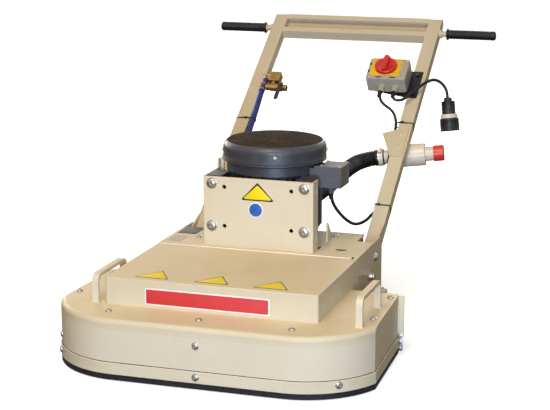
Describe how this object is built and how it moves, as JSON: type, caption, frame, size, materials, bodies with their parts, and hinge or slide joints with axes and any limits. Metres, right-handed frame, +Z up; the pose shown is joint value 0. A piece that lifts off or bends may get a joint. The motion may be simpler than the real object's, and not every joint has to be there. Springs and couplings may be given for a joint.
{
  "type": "concrete grinder",
  "caption": "Walk-behind concrete floor grinder: wide flat disc head with belt cover, upright electric motor, transport wheels, leaning handle with switch, water valve and dust outlet.",
  "frame": {"origin": "middle of the bounding box on the floor", "axes": "+X to the operator's right, +Y from the grinding head towards the handle, +Z up"},
  "size_m": [1.009, 1.7171, 0.8357],
  "materials": {
    "tan_paint": "semi-gloss powder coat",
    "black_paint": "satin",
    "grey_paint": "semi-gloss enamel",
    "box_grey": "satin",
    "bare_steel": "machined",
    "zinc": "zinc plated",
    "chrome": "polished",
    "cast_alloy": "cast",
    "black_rubber": "matte",
    "belt_rubber": "matte",
    "tyre_rubber": "matte",
    "black_plastic": "textured",
    "red_plastic": "gloss",
    "black_hose": "ribbed",
    "blue_hose": "satin",
    "cream_plastic": "satin",
    "brass": "dull",
    "copper_windings": "varnished",
    "wheel_plastic": "satin",
    "diamond_bond": "sintered"
  },
  "bodies": {
    "machine": {"head_shell": "tan_paint", "head_top_plate": "tan_paint", "lower_band": "tan_paint", "rubber_skirt": "black_rubber", "belt_cover": "tan_paint", "lift_bars": "tan_paint", "chassis_sides": "tan_paint", "chassis_deck": "tan_paint", "chassis_inner": "tan_paint", "dust_duct": "tan_paint", "axle": "bare_steel", "frame_fasteners": "zinc", "motor_bracket": "tan_paint", "motor_frame": "grey_paint", "motor_end_bells": "grey_paint", "fan_cowl": "grey_paint", "stator": "copper_windings", "terminal_box": "box_grey", "terminal_lid": "box_grey", "drive_belt": "belt_rubber", "idler_post": "bare_steel", "spindle_housings": "cast_alloy", "bearings": "bare_steel", "case_bolts": "zinc", "dust_hose": "black_hose", "water_hose": "blue_hose", "motor_lead": "black_rubber"},
    "handle": {"upright_left": "tan_paint", "upright_right": "tan_paint", "cross_channel": "tan_paint", "grip_rods": "tan_paint", "grips": "black_rubber", "lock_bolts": "zinc", "switch_bracket": "black_paint", "switch_box": "box_grey", "switch_lid": "box_grey", "dust_tube": "cream_plastic", "handle_brackets": "tan_paint", "valve_body": "brass", "plug_lead": "black_rubber", "plug": "black_plastic"},
    "left_wheel": {"tyre_left": "tyre_rubber", "wheel_hub_left": "wheel_plastic"},
    "right_wheel": {"tyre_right": "tyre_rubber", "wheel_hub_right": "wheel_plastic"},
    "rotor": {"rotor_shaft": "bare_steel", "rotor_core": "bare_steel", "cooling_fan": "black_plastic", "motor_pulley": "cast_alloy"},
    "left_grinder": {"spindle_left": "bare_steel", "disc_left": "bare_steel", "diamond_segments_left": "diamond_bond"},
    "right_grinder": {"spindle_right": "bare_steel", "disc_right": "bare_steel", "diamond_segments_right": "diamond_bond"},
    "idler": {"idler_pulley": "cast_alloy"},
    "clamp_lever": {"lock_lever": "chrome"},
    "knob": {"switch_knob": "red_plastic"},
    "tap_lever": {"valve_lever": "black_plastic"},
    "end_cap": {"dust_cap": "red_plastic"}
  },
  "joints": [
    {"name": "handle_tilt", "type": "hinge", "parent": "machine", "child": "handle", "pos_m": [0, -0.103, 0.207], "axis": [1, 0, 0], "range_deg": [-6, 10], "deforming": ["dust_hose", "water_hose", "motor_lead"]},
    {"name": "left_wheel_spin", "type": "hinge", "parent": "machine", "child": "left_wheel", "pos_m": [-0.228, -0.05, 0.085], "axis": [1, 0, 0], "continuous": true},
    {"name": "right_wheel_spin", "type": "hinge", "parent": "machine", "child": "right_wheel", "pos_m": [0.228, -0.05, 0.085], "axis": [1, 0, 0], "continuous": true},
    {"name": "left_disc_spin", "type": "hinge", "parent": "machine", "child": "left_grinder", "pos_m": [-0.212, -0.611, 0.1], "axis": [0, 0, 1], "continuous": true},
    {"name": "right_disc_spin", "type": "hinge", "parent": "machine", "child": "right_grinder", "pos_m": [0.212, -0.611, 0.1], "axis": [0, 0, 1], "continuous": true},
    {"name": "motor_spin", "type": "hinge", "parent": "machine", "child": "rotor", "pos_m": [0, -0.13, 0.35], "axis": [0, 0, 1], "continuous": true},
    {"name": "idler_spin", "type": "hinge", "parent": "machine", "child": "idler", "pos_m": [-0.158, -0.39, 0.214], "axis": [0, 0, 1], "continuous": true},
    {"name": "clamp_lever_turn", "type": "hinge", "parent": "handle", "child": "clamp_lever", "pos_m": [0.32, -0.18523, 0.16848], "axis": [1, 0, 0], "range_deg": [-60, 0]},
    {"name": "switch_turn", "type": "hinge", "parent": "handle", "child": "knob", "pos_m": [0.183, 0.52292, 0.70292], "axis": [0, -0.5707, 0.8211], "range_deg": [0, 90]},
    {"name": "water_valve_turn", "type": "hinge", "parent": "handle", "child": "tap_lever", "pos_m": [-0.18, 0.48827, 0.63012], "axis": [0, -0.5707, 0.8211], "range_deg": [0, 90]},
    {"name": "cap_pull", "type": "slide", "parent": "handle", "child": "end_cap", "axis": [0.9816, 0.1567, 0.1089], "range_m": [0, 0.03]}
  ],
  "couplings": [
    {"joint": "right_disc_spin", "follows": "left_disc_spin", "ratio": 1},
    {"joint": "motor_spin", "follows": "left_disc_spin", "ratio": 1.6667},
    {"joint": "idler_spin", "follows": "left_disc_spin", "ratio": 2.5}
  ]
}
